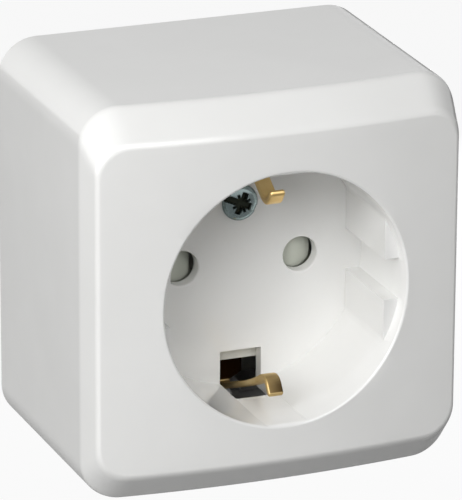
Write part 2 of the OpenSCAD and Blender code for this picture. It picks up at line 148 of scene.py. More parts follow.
metals = {
    # colour low, colour high, colour of the painted shade, roughness low and high, bump strength, marks per metre,
    # stretch of the marks
    "stampedBrass": ((0.74, 0.51, 0.2), (0.92, 0.72, 0.37), (0.03, 0.013, 0.003),
                     0.3, 0.48, 0.12, 700, (1, 0.25, 0.25)),
    "agedBrass": ((0.9, 0.4, 0.1), (0.95, 0.5, 0.14), (0.03, 0.013, 0.003), 0.4, 0.5, 0.12, 700, (1, 1, 1)),
    "zincPlate": ((0.17, 0.22, 0.225), (0.38, 0.46, 0.46), (0.03, 0.032, 0.02), 0.16, 0.3, 0.1, 1100, (1, 1, 1)),
    "springSteel": ((0.34, 0.34, 0.35), (0.46, 0.46, 0.47), (0.05, 0.05, 0.05), 0.24, 0.38, 0.08, 1400, (1, 0.3, 0.3)),
}


def plasticMaterial(name):
    low, high, roughLow, roughHigh, bump, grain, coat = plastics[name]
    material, nodes, links, shader, place = startMaterial(name)
    colour, _ = spread(nodes, links, place, 55, low, high)
    links.new(colour, shader.inputs["Base Color"])
    rough, _ = spread(nodes, links, place, 140, (roughLow,) * 3, (roughHigh,) * 3)
    links.new(rough, shader.inputs["Roughness"])
    _, height = spread(nodes, links, place, grain, low, high, 2)
    addBump(nodes, links, height, bump, 0.00004, shader)
    shader.inputs["IOR"].default_value = 1.53
    # The weak specular keeps the painted shade in the slots black
    shader.inputs["Specular IOR Level"].default_value = 0.1 if name == "darkPlasticAndShade" else 0.5
    shader.inputs["Coat Weight"].default_value = coat
    shader.inputs["Coat Roughness"].default_value = 0.08
    return material


def metalMaterial(name):
    low, high, shadeColour, roughLow, roughHigh, bump, marks, stretch = metals[name]
    material, nodes, links, shader, place = startMaterial(name)
    colour, _ = spread(nodes, links, place, 180, low, high)
    # Painted shade: the attribute mixes the colour towards the shade colour and makes it rougher
    paintedShade = nodes.new("ShaderNodeAttribute")
    paintedShade.attribute_name = "paintedShade"
    mix = nodes.new("ShaderNodeMix")
    mix.data_type = "RGBA"
    mix.inputs["B"].default_value = (*shadeColour, 1)
    links.new(paintedShade.outputs["Fac"], mix.inputs["Factor"])
    links.new(colour, mix.inputs["A"])
    links.new(mix.outputs["Result"], shader.inputs["Base Color"])
    rough, height = spread(nodes, links, place, marks, (roughLow,) * 3, (roughHigh,) * 3, 4, stretch)
    dull = nodes.new("ShaderNodeMix")
    dull.inputs["B"].default_value = 0.72
    links.new(paintedShade.outputs["Fac"], dull.inputs["Factor"])
    links.new(rough, dull.inputs["A"])
    links.new(dull.outputs["Result"], shader.inputs["Roughness"])
    addBump(nodes, links, height, bump, 0.00003, shader)
    shader.inputs["Metallic"].default_value = 1.0
    return material


finishes = {name: plasticMaterial(name) for name in plastics}
finishes.update({name: metalMaterial(name) for name in metals})
print("stage: materials", len(finishes))

# Meshes


# A mesh object from grids of points: faces join each row to the next and each column to the next,
# and points that meet are merged. Every grid's columns close on themselves
def meshFromGrids(name, grids, finish):
    points, faces, start = [], [], 0
    for grid in grids:
        rows, columns = grid.shape[:2]
        index = start + np.arange(rows * columns).reshape(rows, columns)
        nextColumn = np.roll(index, -1, 1)
        quads = np.stack([index[:-1], nextColumn[:-1], nextColumn[1:], index[1:]], -1).reshape(-1, 4)
        points.append(grid.reshape(-1, 3))
        faces.append(quads)
        start += rows * columns
    return meshFrom(name, np.vstack(points), np.vstack(faces).tolist(), finish)


# A mesh object from points and faces, its doubles merged and its faces turned outward
def meshFrom(name, points, faces, finish):
    mesh = bpy.data.meshes.new(name)
    mesh.from_pydata(np.asarray(points, float).tolist(), [], faces)
    work = bmesh.new()
    work.from_mesh(mesh)
    bmesh.ops.remove_doubles(work, verts=work.verts, dist=weldReach)
    bmesh.ops.dissolve_degenerate(work, edges=work.edges, dist=weldReach)
    bmesh.ops.recalc_face_normals(work, faces=work.faces)
    work.to_mesh(mesh)
    work.free()
    piece = bpy.data.objects.new(name, mesh)
    bpy.context.scene.collection.objects.link(piece)
    mesh.materials.append(finishes[finish])
    return piece


# Smooth shading, apart from edges sharper than an angle
def shadeSmooth(piece, degrees):
    mesh = piece.data
    mesh.polygons.foreach_set("use_smooth", np.ones(len(mesh.polygons), bool))
    mesh.set_sharp_from_angle(angle=math.radians(degrees))
    mesh.update()


# A piece's points in room millimetres
def roomPoints(piece):
    flat = np.empty(len(piece.data.vertices) * 3)
    piece.data.vertices.foreach_get("co", flat)
    p = flat.reshape(-1, 3) / mm
    return np.stack([p[:, 0], p[:, 2], -p[:, 1]], 1)


# How dark with painted shade each point is, from 0 to 1, for the metal finishes to read
def markPaintedShade(piece, amount):
    layer = piece.data.attributes.new("paintedShade", "FLOAT", "POINT")
    layer.data.foreach_set("value", np.asarray(amount, float))


# Applies what the modifiers make, so that only the finished mesh is left
def applyModifiers(piece):
    bpy.context.view_layer.update()
    graph = bpy.context.evaluated_depsgraph_get()
    mesh = bpy.data.meshes.new_from_object(piece.evaluated_get(graph))
    piece.modifiers.clear()
    old = piece.data
    piece.data = mesh
    mesh.name = old.name if old.users else piece.name
    return piece


# Rounds each edge that turns by more than an angle, width in millimetres
def roundEdges(piece, width, degrees, segments=2):
    bevel = piece.modifiers.new("rounding", "BEVEL")
    bevel.width = width * mm
    bevel.segments = segments
    bevel.limit_method = "ANGLE"
    bevel.angle_limit = math.radians(degrees)
    bevel.use_clamp_overlap = True
    bevel.miter_outer = "MITER_ARC"
    return applyModifiers(piece)


# Takes one solid out of another, and removes the cutter
def cutAway(piece, cutter):
    boolean = piece.modifiers.new("cut", "BOOLEAN")
    boolean.operation = "DIFFERENCE"
    boolean.solver = "EXACT"
    boolean.object = cutter
    applyModifiers(piece)
    bpy.data.objects.remove(cutter)
    return piece


# A solid from a profile of (radius, height) pairs turned about an axis that points out of the wall at (x, y)
def turned(name, profile, centre, finish, steps=64):
    angle = np.linspace(0, 2 * np.pi, steps, endpoint=False)
    radius, height = np.array(profile, float).T
    grid = np.stack([centre[0] + radius[:, None] * np.cos(angle), centre[1] + radius[:, None] * np.sin(angle),
                     height[:, None] + 0 * angle], -1)
    return meshFromGrids(name, [toFrame(grid)], finish)


# A solid from a flat outline pushed along an axis: the outline's two numbers fill the other two axes in turn
def pushed(name, outline, axis, low, high, finish):
    flat = np.asarray(outline, float)
    ends = [np.insert(flat, axis, level, axis=1) for level in (low, high)]
    count = len(flat)
    ring = np.arange(count)
    sides = np.stack([ring, np.roll(ring, -1), np.roll(ring, -1) + count, ring + count], 1).tolist()
    faces = sides + [list(range(count))[::-1], list(range(count, 2 * count))]
    return meshFrom(name, toFrame(np.vstack(ends)), faces, finish)


# Cover

cover = {
    "width": 59, "height": 61, "depth": 42.5, "wall": 2.2, "crown": 2.2, "cornerRadius": 6,
    "bandDepth": 4.7, "bandTop": 4.8, "bandSide": 1, "frontRound": 0.6, "draft": 0.15,
    "turnShares": (0.12, 0.18),  # how much of the band its lower and its upper turn take up
    "recessRadius": 19.4, "recessDepth": 17.5, "recessWall": 1.8, "floorThick": 2, "mouthRound": 0.45,
    "mouthMove": (0.72, -0.33), "mouthRadii": (19.05, 19.55), "channelLift": 0.25,
    "flatX": 16.85, "flatHeight": 15, "grooveWidth": 6.4, "pinPitch": 19, "pinHole": 5.4, "pinRound": 0.3,
    "slotWidth": 6.6, "slotInner": 14, "slotUp": 6.7, "screwX": -0.3, "screwY": 9.4, "screwHole": 3.6,
    "knockWidth": 12, "knockHeight": 11, "knockWeb": 0.8, "slotRound": 0.5,
    "edgeRound": 0.28,
}
floorZ = cover["depth"] - cover["recessDepth"]
tubeRadius = cover["recessRadius"] + cover["recessWall"]
crownRadius = (cover["width"] ** 2 / 4 + cover["crown"] ** 2) / (2 * cover["crown"])


# How far the crowned front falls away beside the middle: radius less the height of a circle at x
def crownDrop(x):
    return crownRadius - np.sqrt(crownRadius ** 2 - x ** 2)


# Distance from the middle to a rounded rectangle along each direction: the nearer of the two sides,
# or the corner circle where the ray passes its centre lines
def roundedReach(angle, halfWidth, halfHeight, corner):
    across, up = np.abs(np.cos(angle)), np.abs(np.sin(angle))
    side = np.minimum(halfWidth / np.maximum(across, 1e-9), halfHeight / np.maximum(up, 1e-9))
    centreX, centreY = halfWidth - corner, halfHeight - corner
    inCorner = (side * across > centreX) & (side * up > centreY)
    middle = centreX * across + centreY * up
    inside = corner ** 2 - centreX ** 2 - centreY ** 2 + middle ** 2
    return np.where(inCorner, middle + np.sqrt(np.maximum(inside, 0)), side)


# Distance from the middle to the recess's outline: a circle with its left and right cut flat,
# apart from a groove between the flats
def recessReach(angle, radius, flatX, grooveWidth):
    across, up = np.abs(np.cos(angle)), np.abs(np.sin(angle))
    half = grooveWidth / 2
    onFlat = flatX / np.maximum(across, 1e-9)
    onGroove = half / np.maximum(up, 1e-9)
    reach = np.where(onFlat * up >= half - 1e-9, onFlat, np.maximum(onGroove, onFlat))
    return channelReach(angle, np.minimum(reach, radius), radius)


# The same outline with a flat channel at the top and bottom, one slot wide: its distance over the sine
def channelReach(angle, reach, radius):
    flat = (radius - cover["channelLift"]) / np.maximum(np.abs(np.sin(angle)), 1e-9)
    return np.where(flat * np.abs(np.cos(angle)) <= cover["slotWidth"] / 2 + 1e-6, flat, reach)


# Directions round the middle, closer together at the corners, with one at each end of a flat or groove
def coverAngles():
    half, wide = cover["grooveWidth"] / 2, cover["grooveWidth"] / 2 + cover["recessWall"]
    outerFlat = cover["flatX"] + cover["recessWall"]
    special = [math.asin(half / cover["recessRadius"]), math.atan(half / cover["flatX"]),
               math.acos(cover["flatX"] / cover["recessRadius"]), math.asin(wide / tubeRadius),
               math.atan(wide / outerFlat), math.acos(outerFlat / tubeRadius),
               math.atan2(cover["recessRadius"] - cover["channelLift"], cover["slotWidth"] / 2),
               math.acos(cover["slotWidth"] / 2 / cover["recessRadius"]) - 0.0005]
    plain = np.radians(np.concatenate([np.arange(0, 34, 2.0), np.arange(34, 56, 0.6), np.arange(56, 90.1, 2.0)]))
    clear = [a for a in plain if min(abs(a - s) for s in special) > 0.008]
    quarter = np.array(sorted(clear + special))
    both = np.concatenate([quarter, np.pi - quarter[::-1]])
    return np.unique(np.round(np.concatenate([both, both + np.pi]) % (2 * np.pi), 9))


# A quadratic curve from a to c that leaves and arrives in line with b
def curveBetween(a, b, c, share):
    return (1 - share) ** 2 * a + 2 * share * (1 - share) * b + share ** 2 * c


# Outlines of the skin, each [half width, half height, height at the middle, corner radius]:
# the taper of the side, the turn into the band, the band, and the turn into the front
def skinOutlines():
    bandOut = np.array([cover["width"] / 2 - cover["draft"], cover["height"] / 2 - cover["draft"],
                        cover["depth"] - cover["bandDepth"], cover["cornerRadius"]])
    bandIn = bandOut + [-cover["bandSide"], -cover["bandTop"], cover["bandDepth"], -1.2]
    slope = bandIn - bandOut
    frontIn = bandIn - cover["frontRound"] * np.array([1, 1, 0, 0.5])
    lowTurn, highTurn = cover["turnShares"]
    lower = [curveBetween(bandOut - [0, 0, 0.6, 0], bandOut, bandOut + lowTurn * slope, t)
             for t in np.linspace(0, 1, 6)]
    upper = [curveBetween(bandIn - highTurn * slope, bandIn, frontIn, t) for t in np.linspace(0, 1, 9)]
    across = [lower[-1] + (upper[0] - lower[-1]) * t for t in (0.25, 0.5, 0.75)]
    return np.array(lower + across + upper)


# One ring of points: the reach along each direction, at a height that may fall with the crown
def ring(angle, reach, height, crowned):
    x, y = reach * np.cos(angle), reach * np.sin(angle)
    return np.stack([x, y, height - (crownDrop(x) if crowned else 0) + 0 * x], -1)


# The cover's skin: rings from the floor's middle out through the recess, over the front and down the sides,
# in under the wall, and back along the inside to the middle of the floor's rear
def coverRings(angle):
    c, rings = cover, []
    inner = recessReach(angle, c["recessRadius"], c["flatX"], c["grooveWidth"])
    for share in (0, 0.3, 0.6, 0.85, 1):
        rings.append(ring(angle, inner * share, floorZ, False))
    for level in np.linspace(floorZ, floorZ + c["flatHeight"], 6)[1:]:
        rings.append(ring(angle, inner, level, False))
    circle = np.full_like(angle, c["recessRadius"])
    wall = channelReach(angle, circle, c["recessRadius"])
    rings.append(ring(angle, wall, floorZ + c["flatHeight"], False))
    wide, high = c["mouthRadii"]
    # The mouth is an upright ellipse: one over the length of (cosine / half width, sine / half height)
    mouth = 1 / np.hypot(np.cos(angle) / wide, np.sin(angle) / high)
    moveX, moveY = c["mouthMove"]
    edge = c["depth"] - crownDrop(mouth * np.cos(angle) + moveX)
    for turn in np.radians(np.linspace(0, 90, 9)):
        share = math.sin(turn)  # the channel runs out as the wall turns into the front
        reach = (wall - circle) * (1 - share) + mouth + c["mouthRound"] * (1 - math.cos(turn))
        x, y = reach * np.cos(angle) + moveX, reach * np.sin(angle) + moveY
        rings.append(np.stack([x, y, edge - c["mouthRound"] * (1 - share)], -1))
    outlines = skinOutlines()
    start, outer = rings[-1], ring(angle, roundedReach(angle, *outlines[-1][[0, 1, 3]]), 0, False)
    for share in np.linspace(0, 1, 10)[1:-1]:
        spot = start + (outer - start) * share
        rings.append(np.stack([spot[:, 0], spot[:, 1], c["depth"] - crownDrop(spot[:, 0])], -1))
    for halfWidth, halfHeight, height, corner in outlines[::-1]:
        rings.append(ring(angle, roundedReach(angle, halfWidth, halfHeight, corner), height, True))
    back = roundedReach(angle, c["width"] / 2, c["height"] / 2, c["cornerRadius"])
    top = rings[-1]
    for share in (0.25, 0.5, 0.75, 1):
        rings.append(top + (ring(angle, back, 0, False) - top) * share)
    w = c["wall"]
    under = roundedReach(angle, c["width"] / 2 - w, c["height"] / 2 - w, c["cornerRadius"] - w)
    rings.append(ring(angle, under, 0, False))
    for halfWidth, halfHeight, height, corner in outlines:
        rings.append(ring(angle, roundedReach(angle, halfWidth - w, halfHeight - w, corner - w), height - w, True))
    tube = np.full_like(angle, tubeRadius)
    rings.append(ring(angle, tube, c["depth"] - w, True))
    step = floorZ + c["flatHeight"] - c["recessWall"]
    rings.append(ring(angle, tube, step, False))
    narrow = recessReach(angle, tubeRadius, c["flatX"] + c["recessWall"], c["grooveWidth"] + 2 * c["recessWall"])
    rings.append(ring(angle, narrow, step, False))
    for share in (1, 0.7, 0.4, 0):
        rings.append(ring(angle, narrow * share, floorZ - c["floorThick"], False))
    return np.array(rings)


def makeCover():
    c = cover
    angle = coverAngles()
    shell = meshFromGrids("cover_shell", [toFrame(coverRings(angle))], "coverWhite")
    roundEdges(shell, c["edgeRound"], 50, 3)
    under, over = floorZ - c["floorThick"] - 1, floorZ + 1
    for side in (-1, 1):
        hole = c["pinHole"] / 2
        turnIn = [(hole + c["pinRound"] * (1 - math.cos(t)), floorZ - c["pinRound"] * (1 - math.sin(t)))
                  for t in np.radians(np.linspace(0, 90, 5))]
        profile = [(0, under), (hole, under)] + turnIn + [(hole + c["pinRound"], over), (0, over)]
        cutAway(shell, turned("cut", profile, (side * c["pinPitch"] / 2, 0), "coverWhite"))
    hole = c["screwHole"] / 2
    cutAway(shell, turned("cut", [(0, under), (hole, under), (hole, over), (0, over)],
                          (c["screwX"], c["screwY"]), "coverWhite"))
    half = c["slotWidth"] / 2
    soft = c["slotRound"]
    for side in (-1, 1):
        near, far = side * c["slotInner"], side * (tubeRadius + 1)
        low, high = floorZ - c["floorThick"] - 1, floorZ + c["slotUp"]
        outline = [(-half, low), (half, low), (half, high - soft), (half - soft * 0.3, high - soft * 0.3),
                   (half - soft, high), (soft - half, high), (soft * 0.3 - half, high - soft * 0.3),
                   (-half, high - soft)]
        cutAway(shell, pushed("cut", outline, 1, min(near, far), max(near, far), "coverWhite"))
        web, deep = side * (c["height"] / 2 - c["draft"] - c["knockWeb"]), side * (c["height"] / 2 - c["wall"] - 1)
        turns = np.linspace(0, np.pi, 17)
        halfKnock = c["knockWidth"] / 2
        arch = [(halfKnock * math.cos(t), c["knockHeight"] - halfKnock + halfKnock * math.sin(t)) for t in turns]
        arch += [(-halfKnock, -1), (halfKnock, -1)]
        cutAway(shell, pushed("cut", arch, 1, min(web, deep), max(web, deep), "coverWhite"))
    shadeSmooth(shell, 38)
    normals = shell.modifiers.new("even", "WEIGHTED_NORMAL")
    normals.keep_sharp = True
    normals.weight = 80
    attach(shell, "housing")
    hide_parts("cover")
    return shell


coverShell = makeCover()
print("stage: cover", len(coverShell.data.polygons), "faces")

# Cover screw

screw = {
    "headRadius": 2.84, "headHeight": 1.05, "dome": 0.42, "rimRound": 0.7, "shankRadius": 1.5, "pitch": 0.7,
    "thread": 0.2, "slotHalf": 0.5, "slotDeep": 0.75, "slotTurn": -24, "wingHalf": 0.45, "wingReach": 1.7,
    "wingDeep": 1.15, "markReach": 1.45,
}


# 1 inside an edge and 0 outside it, turning over a short width: three times its square less two times its cube
def softStep(value, width):
    t = np.clip(value / width + 0.5, 0, 1)
    return t * t * (3 - 2 * t)


# Height of the head over its seat at each point: a shallow dome, less a rounded rim, less the deepest of the
# slot, the four wings that taper towards the middle, and the four small marks between them
def headHeight(x, y):
    s = screw
    r = np.hypot(x, y)
    top = s["headHeight"] - s["dome"] * (r / s["headRadius"]) ** 2
    rim = np.clip((r - s["headRadius"] + s["rimRound"]) / s["rimRound"], 0, 1)
    top = top - s["rimRound"] * (1 - np.sqrt(1 - rim ** 2)) * 0.8
    turn = math.radians(s["slotTurn"])
    along, over = x * math.cos(turn) + y * math.sin(turn), y * math.cos(turn) - x * math.sin(turn)
    slot = s["slotDeep"] * softStep(s["slotHalf"] - np.abs(over), 0.1) * (1 - 0.72 * softStep(along - 1.7, 0.4))
    reach = softStep(s["wingReach"] - r, 0.14) * (1 - 0.3 * r / s["wingReach"])
    wing = np.minimum(np.abs(along), np.abs(over))
    wings = s["wingDeep"] * softStep(s["wingHalf"] - wing, 0.12) * reach
    across = np.minimum(np.abs(along - over), np.abs(along + over)) / math.sqrt(2)
    marks = 0.8 * softStep(0.16 - across, 0.1) * softStep(s["markReach"] - r, 0.14)
    return top - np.maximum(np.maximum(slot, wings), marks)


# The screw as one closed grid: the head's top, its side, its underside, and a shank whose radius follows
# a triangle wave of height and angle
def makeCoverScrew():
    s = screw
    end = -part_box("cover_screw")[1][1] / mm  # how far from the wall the node's rear end is
    angle = np.linspace(0, 2 * np.pi, 144, endpoint=False)
    radii = np.concatenate([np.linspace(0, s["headRadius"] - 0.25, 44), s["headRadius"] - np.array([0.15, 0.07, 0])])
    x, y = radii[:, None] * np.cos(angle), radii[:, None] * np.sin(angle)
    head = np.stack([x, y, headHeight(x, y)], -1)
    under = ring(angle, np.full_like(angle, s["headRadius"] - 0.08), 0.0, False)
    seat = ring(angle, np.full_like(angle, s["shankRadius"]), 0.0, False)
    levels = np.linspace(-0.2, end - floorZ + 0.6, 100)[:, None]
    wave = np.abs(((levels / s["pitch"] - angle / (2 * np.pi)) % 1) - 0.5) * 2
    deep = s["thread"] * wave * np.clip((-levels - 1.2) / 1.0, 0, 1)
    shank = s["shankRadius"] - deep
    body = np.stack([shank * np.cos(angle), shank * np.sin(angle), levels + 0 * angle], -1)
    tip = ring(angle, np.full_like(angle, s["shankRadius"] * 0.6), end - floorZ, False)
    last = ring(angle, np.zeros_like(angle), end - floorZ, False)
    grid = np.concatenate([head, under[None], seat[None], body, tip[None], last[None]])
    grid = grid + np.array([cover["screwX"], cover["screwY"], floorZ])
    piece = meshFromGrids("cover_screw_dressed", [toFrame(grid)], "zincPlate")
    shadeSmooth(piece, 50)
    spot = roomPoints(piece) - [cover["screwX"], cover["screwY"], floorZ]
    r = np.hypot(spot[:, 0], spot[:, 1])
    sunk = s["headHeight"] - s["dome"] * (r / s["headRadius"]) ** 2 - spot[:, 2]
    # Painted shade: the slot and cross in the head are darkened with their depth, on the left half and in the middle
    # only
    inside = (r < s["headRadius"] - 0.3) & (spot[:, 2] > -0.4) & ((r < 1.9) | (spot[:, 0] < 0))
    markPaintedShade(piece, np.clip((sunk - 0.1) / 0.5, 0, 0.95) * inside)
    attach(piece, "housing")
    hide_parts("cover_screw")
    return piece


# Earth strap

strap = {
    "thick": 0.95, "middleWidth": 6.4, "clipWidth": 2.4, "middleZ": 16.975, "rootY": 22.775,
    "edgeRound": 0.3, "endRound": 0.5, "bend": (13.975, 36.3), "tip": (16.2, 38.85),
    "lobe": (-8.8, -12.6, 3.4), "barHalf": 2.2, "screwHole": 3.4, "earthHole": 3.6, "tipShadeEnd": 36.52,
    "tipWay": (0.79, 0.61),  # the way the tip points: outward, and forward
    "topSet": (-0.62, 0.5), "bottomSet": (0.1, 0.5),  # how the two clips are bent: towards the middle, and forward
}


# Half of the strap's middle line, as (distance from the middle, height): straight out, up round the root,
# then forward in two quadratic curves to the bend and out to the tip
def clipLine(settle):
    s = strap
    bx, bz = s["bend"]
    tx, tz = s["tip"]
    root, z = s["rootY"], s["middleZ"]
    rise = np.array([root, z]) + 2 * np.array([-0.4, 1]) / math.hypot(0.4, 1)
    underBend, pastBend = np.array([bx + 0.5, bz - 1.1]), np.array([tx - 0.9, tz - 0.7])
    t = np.linspace(0, 1, 11)[:, None]
    parts = [np.stack([np.linspace(0, root - 2.2, 61), np.full(61, z)], 1),
             curveBetween(np.array([root - 2.2, z]), np.array([root, z]), rise, t[1:]),
             curveBetween(np.array([root - 2, z + 5]), np.array([bx + 3.4, bz - 5.6]), underBend, t),
             curveBetween(underBend, np.array([bx - 0.55, bz + 0.9]), pastBend, t[1:]),
             np.array([tx, tz]) - np.array([0.9, 0.7]) * (1 - t[1:])]
    line = np.vstack(parts)
    share = softStep(line[:, 1:] - 29, 16)
    return line + share * np.array(settle)


# Points round a rounded rectangle at each step of the way: its left and right edges are given there, half is
# half its height, and each corner is a quarter circle
def sectionOf(left, right, half, cornerRadius, steps=5):
    turn = np.radians(np.linspace(0, 90, steps))
    corner = np.stack([np.cos(turn), np.sin(turn)], 1) * cornerRadius - cornerRadius
    ne, nw = corner, corner[::-1] * [-1, 1]
    spots = np.vstack([ne, nw, ne * [-1, -1], nw * [-1, -1]])
    base = np.repeat([[1, 1], [-1, 1], [-1, -1], [1, -1]], steps, 0)
    side = np.where(base[None, :, 0] > 0, right[:, None], -left[:, None])
    return side + spots[None, :, 0], half * base[None, :, 1] + spots[None, :, 1] + 0 * side


# The strap: the rounded section is carried along the line, its width a function of the way along it
def makeEarthStrap():
    s = strap
    top, bottom = clipLine(s["topSet"]), clipLine(s["bottomSet"])
    line = np.vstack([bottom[:0:-1] * [-1, 1], top])
    step = np.linalg.norm(np.diff(line, axis=0), axis=1)
    way = np.concatenate([[0], np.cumsum(step)])
    lx, ly, half = s["lobe"]
    flatWay = way[np.argmin(np.abs(line[:, 0]) + (np.abs(line[:, 1] - s["middleZ"]) > 0.01) * 99)]
    marks = flatWay + np.array([ly - half, ly - s["barHalf"], ly + s["barHalf"], ly + half])
    endTurn = s["endRound"] * (1 - np.sin(np.radians(np.linspace(0, 84, 8))))
    extra = np.concatenate([[m - 0.02, m + 0.02] for m in (marks[0], marks[3])] + [endTurn, way[-1] - endTurn])
    spots = np.unique(np.concatenate([way, extra]))
    y, z = np.interp(spots, way, line[:, 0]), np.interp(spots, way, line[:, 1])
    tangent = np.stack([np.gradient(y, spots), np.gradient(z, spots)], 1)
    tangent /= np.linalg.norm(tangent, axis=1)[:, None]
    out = np.abs(y) * (z < s["middleZ"] + 0.5) + 99 * (z >= s["middleZ"] + 0.5)
    narrow = softStep(out - 21.2, 1.6)
    right = s["middleWidth"] / 2 + (s["clipWidth"] - s["middleWidth"]) / 2 * narrow
    left = right.copy()
    onLobe = (spots > marks[0]) & (spots < marks[3]) & (out < 90)
    left[onLobe] = -lx + half
    toEnd = np.minimum(spots, way[-1] - spots)
    full = np.sqrt(1 - np.clip(1 - toEnd / s["endRound"], 0, 0.995) ** 2)
    across, height = sectionOf(left - 0.3 * (1 - full), right - 0.3 * (1 - full), s["thick"] / 2, s["edgeRound"])
    height = height * full[:, None]
    grid = np.stack([across, y[:, None] - tangent[:, 1:] * height, z[:, None] + tangent[:, :1] * height], -1)
    middle = grid.mean(1, keepdims=True)
    first, last = np.repeat(middle[:1], grid.shape[1], 1), np.repeat(middle[-1:], grid.shape[1], 1)
    grid = np.concatenate([first, grid, last])  # each end closes on its middle
    piece = meshFromGrids("earth_strap_dressed", [toFrame(grid)], "stampedBrass")
    cutAway(piece, turned("cut", [(0, 10), (s["screwHole"] / 2, 10), (s["screwHole"] / 2, 24), (0, 24)],
                          (cover["screwX"], cover["screwY"]), "stampedBrass"))
    cutAway(piece, turned("cut", [(0, 10), (s["earthHole"] / 2, 10), (s["earthHole"] / 2, 24), (0, 24)],
                          (lx, ly), "stampedBrass"))
    shadeSmooth(piece, 48)
    spot = roomPoints(piece)
    outward, forward = s["tipWay"]
    along = outward * np.abs(spot[:, 1]) + forward * spot[:, 2]
    shadeAwayFromEdges = softStep(spot[:, 0] + 0.95, 0.25) * softStep(s["tipShadeEnd"] - along, 0.15)  # painted shade is weaker at two edges
    # Painted shade: the whole lower clip is darkened a little, its face more towards the tip, and the flat middle deep
    # behind the floor almost to black
    tip = 0.3 + (0.69 * softStep(spot[:, 2] - 37.8, 2.4) - 0.05) * shadeAwayFromEdges
    hidden = spot[:, 2] < s["middleZ"] + s["thick"] / 2 + 0.15
    markPaintedShade(piece, np.where(spot[:, 1] < 0, tip, 0) + 0.85 * hidden)
    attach(piece, "housing")
    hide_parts("earth_strap")
    return piece


# Shutter

shutter = {
    "low": (-12.9, -3.9), "high": (19.0, 3.9), "baseZ": (19.1, 20.1), "edgeRound": 0.3, "ramps": (-9.5, 9.5),
    "rampRadius": 3.0, "skirt": 0.2, "skirtDrop": 0.25, "rampHigh": 2.7, "rampFall": 0.5,
    "rampFoot": 0.3, "domeDrop": 0.25,
    "rampEnds": (2.35, 2.7), "pinHoles": (5.6, 5.2), "stroke": 5.2,
    "pin": (-15.2, 0.9, 20.8),            # the spring's pin: its end, radius and height
    "block": (-12.9, -10.9, 1.6, 22.5),   # its block: from, to, half its width and its top
}


# The ramp's height over the plate: rises steeply on the left, falls slowly to the right to its end,
# less a shallow dome, and slopes down evenly over its outer ring
def rampHeight(x, y, end):
    s = shutter
    skirt = np.clip((np.hypot(x, y) - s["rampRadius"] + s["skirt"]) / s["skirt"], 0, 1)
    rise = softStep(x + s["rampRadius"] - 0.3, 0.9)
    fall = s["rampHigh"] - s["rampFall"] * np.clip((x + 1.2) / 3.6, 0, 1) ** 1.5
    height = fall * rise * (1 - 0.85 * softStep(x - end, 0.3)) - s["skirtDrop"] * skirt
    height = height - s["domeDrop"] * (x ** 2 + y ** 2) / s["rampRadius"] ** 2
    return np.maximum(height, 0.05)


# A box with rounded edges, its lower and upper corners given
def roundedBox(name, low, high, rounding, finish):
    corners = [(low[0], low[1]), (high[0], low[1]), (high[0], high[1]), (low[0], high[1])]
    return roundEdges(pushed(name, corners, 2, low[2], high[2], finish), rounding, 40, 3)


# Puts the other pieces' meshes into the first piece's
def joinPieces(first, others):
    work = bmesh.new()
    for part in [first] + others:
        work.from_mesh(part.data)
    work.to_mesh(first.data)
    work.free()
    for part in others:
        bpy.data.objects.remove(part)
    return first


def makeShutter():
    s = shutter
    z0, z1 = s["baseZ"]
    base = roundedBox("shutter_dressed", (*s["low"], z0), (*s["high"], z1), s["edgeRound"], "shutterPale")
    parts = []
    angle = np.linspace(0, 2 * np.pi, 72, endpoint=False)
    radii = s["rampRadius"] * (1 - (1 - np.linspace(0, 1, 30)) ** 1.6)
    for middle, end in zip(s["ramps"], s["rampEnds"]):  # the holes are cut through these two parts below
        x, y = radii[:, None] * np.cos(angle), radii[:, None] * np.sin(angle)
        dome = np.stack([x + middle, y, z1 + rampHeight(x, y, end)], -1)
        foot = np.stack([x[-1] + middle, y[-1], 0 * x[-1] + z1 - s["rampFoot"]], -1)
        close = foot * [0, 0, 1] + [middle, 0, 0]
        parts.append(meshFromGrids("ramp", [toFrame(np.concatenate([dome, foot[None], close[None]]))], "shutterPale"))
    x0, x1, half, top = s["block"]
    parts.append(roundedBox("block", (x0, -half, z0 + 0.1), (x1, half, top), s["edgeRound"], "shutterPale"))
    pinX, pinRadius, pinZ = s["pin"]
    profile = np.array([(0, pinX), (pinRadius * 0.7, pinX), (pinRadius, pinX + 0.3),
                        (pinRadius, x0 + 0.3), (0, x0 + 0.3)])
    turns, across = angle[::3], profile[:, :1]
    pin = np.stack([profile[:, 1:] + 0 * turns, across * np.cos(turns), pinZ + across * np.sin(turns)], -1)
    parts.append(meshFromGrids("pin", [toFrame(pin)], "shutterPale"))
    for middle, ramp, wide in zip(s["ramps"], list(parts), s["pinHoles"]):
        radius = wide / 2
        for part in (base, ramp):
            cutAway(part, turned("cut", [(0, 18), (radius, 18), (radius, z1 + 4), (0, z1 + 4)],
                                 (middle + s["stroke"], 0), "shutterPale"))
    piece = joinPieces(base, parts)
    shadeSmooth(piece, 45)
    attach(piece, "shutter")
    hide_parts("shutter")
    return piece


# Shutter spring

spring = {"start": -20.7, "end": -12.9, "z": 20.8, "coilRadius": 1.3, "wire": 0.4, "turns": 6, "flatTurns": 0.9}


